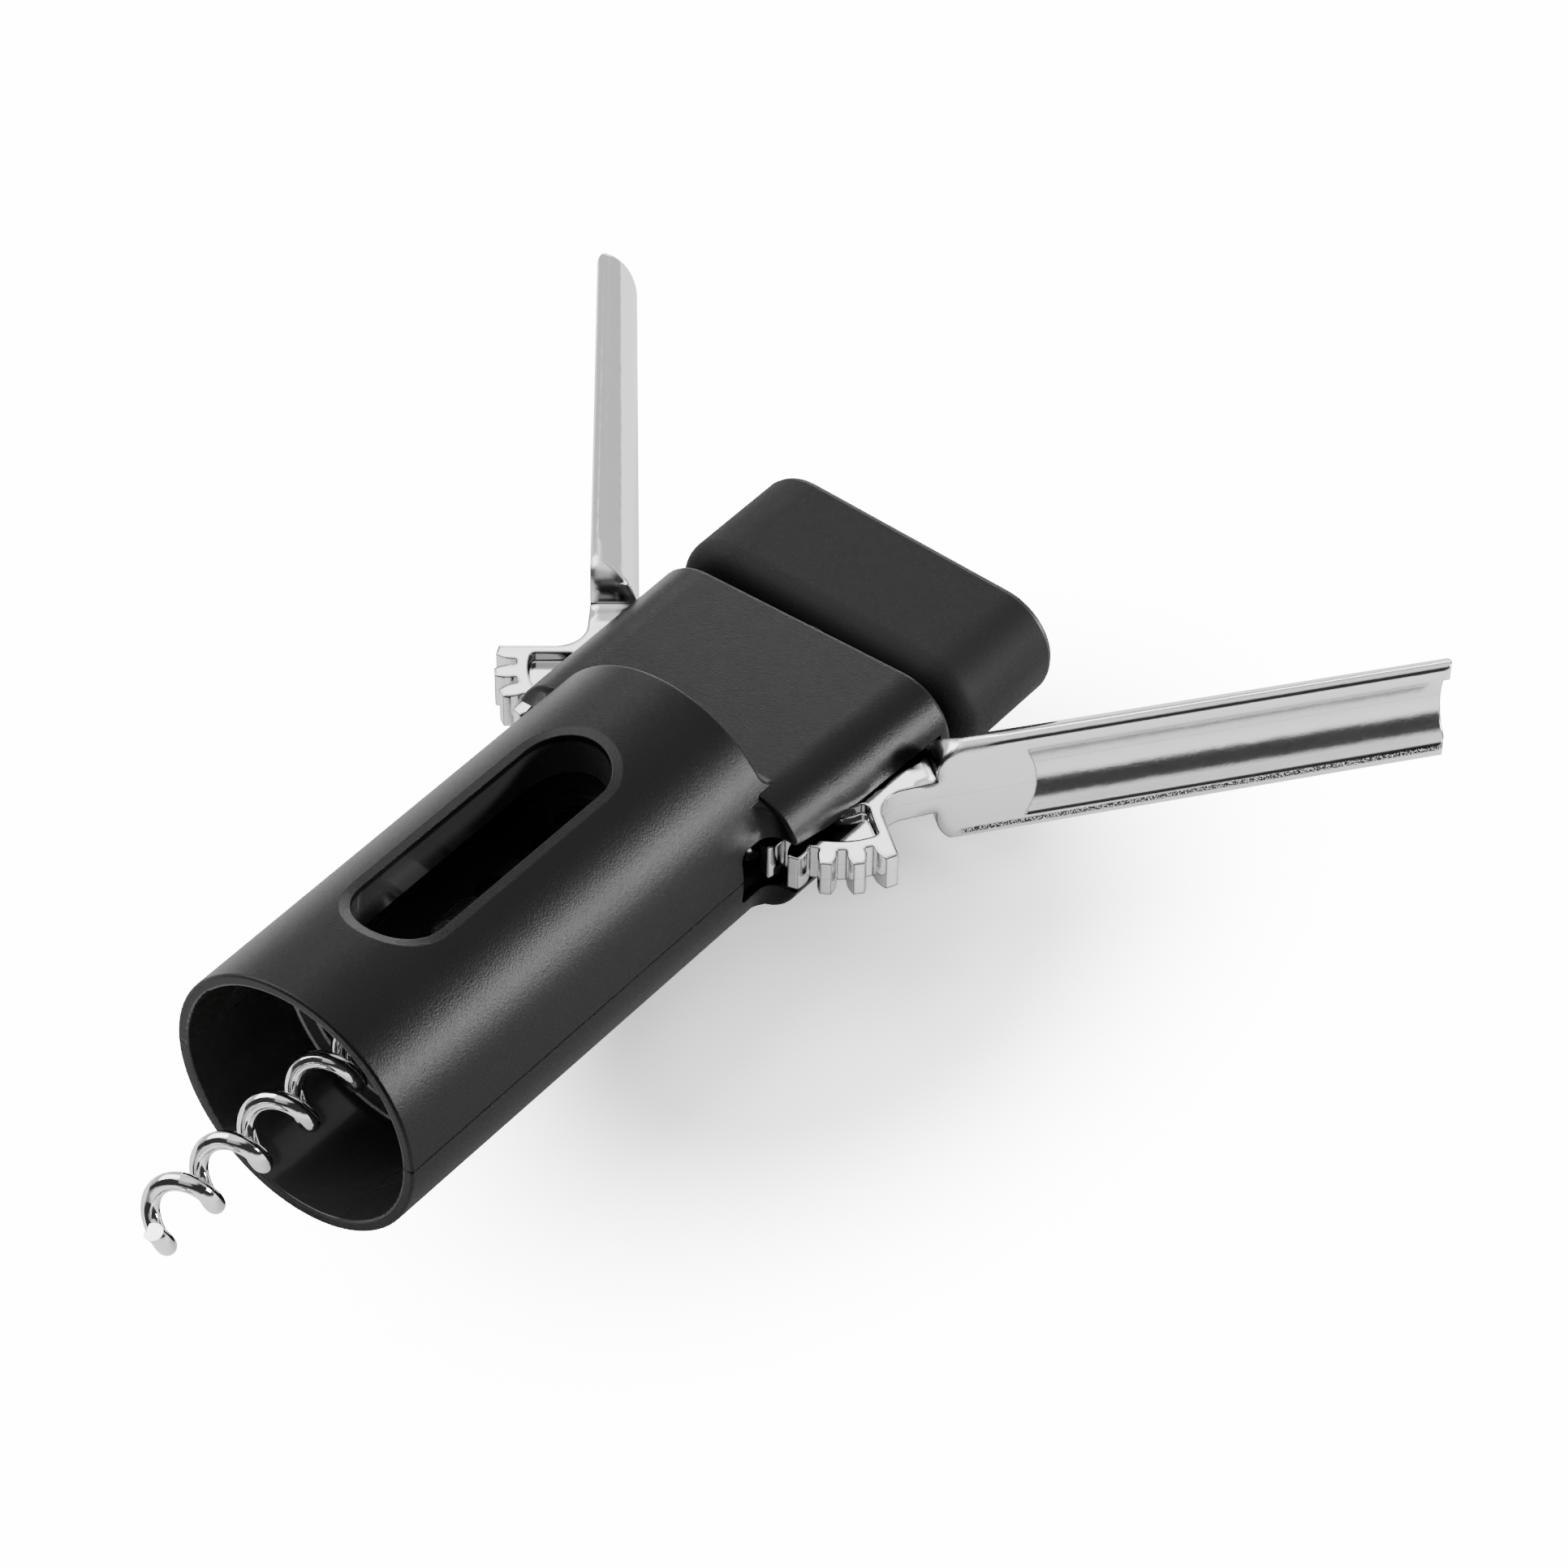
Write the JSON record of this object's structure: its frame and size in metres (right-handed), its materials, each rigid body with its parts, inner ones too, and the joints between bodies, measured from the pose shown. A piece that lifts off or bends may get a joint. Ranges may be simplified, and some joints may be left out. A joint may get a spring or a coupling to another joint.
{
  "type": "lever corkscrew",
  "caption": "Winged lever corkscrew: tube casing with a window, chromed geared levers on a ring rack, turning worm and rubber grip, for drawing corks from bottles.",
  "frame": {"origin": "centre of the tube's mouth, on the tube's axis", "axes": "+Y along the axis from the mouth to the grip, +Z to the side with the window, +X to the right lever"},
  "size_m": [0.158, 0.2006, 0.042],
  "materials": {
    "casing": "satin moulded",
    "steel": "bright zinc",
    "nylon": "moulded nylon",
    "lever": "chromed casting",
    "shaft": "gloss",
    "worm": "polished",
    "grip_core": "moulded",
    "grip": "soft touch"
  },
  "bodies": {
    "body": {"front_shell": "casing", "back_shell": "casing", "pivot_screws": "steel", "tube_screws": "steel", "right_pivot_sleeve": "steel", "left_pivot_sleeve": "steel", "right_lever_washers": "nylon", "left_lever_washers": "nylon", "shaft_bush": "nylon", "lower_bush": "nylon"},
    "slider": {"thrust_washer": "nylon"},
    "spindle": {"rack_shaft": "shaft", "worm": "worm", "worm_ferrule": "steel", "worm_pin": "steel", "grip_core": "grip_core", "grip_cover": "grip", "grip_end_cap": "grip_core", "grip_pin": "steel"},
    "right_lever": {"right_lever": "lever"},
    "left_lever": {"left_lever": "lever"}
  },
  "joints": [
    {"name": "shaft_slide", "type": "slide", "parent": "body", "child": "slider", "axis": [0, 1, 0], "range_m": [0, 0.0295]},
    {"name": "worm_turn", "type": "hinge", "parent": "slider", "child": "spindle", "pos_m": [0, 0.1155, 0], "axis": [0, 1, 0], "continuous": true},
    {"name": "right_lever_pivot", "type": "hinge", "parent": "body", "child": "right_lever", "pos_m": [0.021, 0.0945, 0], "axis": [0, 0, 1], "range_deg": [-110.3, 0.5]},
    {"name": "left_lever_pivot", "type": "hinge", "parent": "body", "child": "left_lever", "pos_m": [-0.021, 0.0945, 0], "axis": [0, 0, 1], "range_deg": [-0.5, 110.3]}
  ],
  "couplings": [
    {"joint": "right_lever_pivot", "follows": "shaft_slide", "rad_per_m": -64.935},
    {"joint": "left_lever_pivot", "follows": "shaft_slide", "rad_per_m": 64.935}
  ]
}
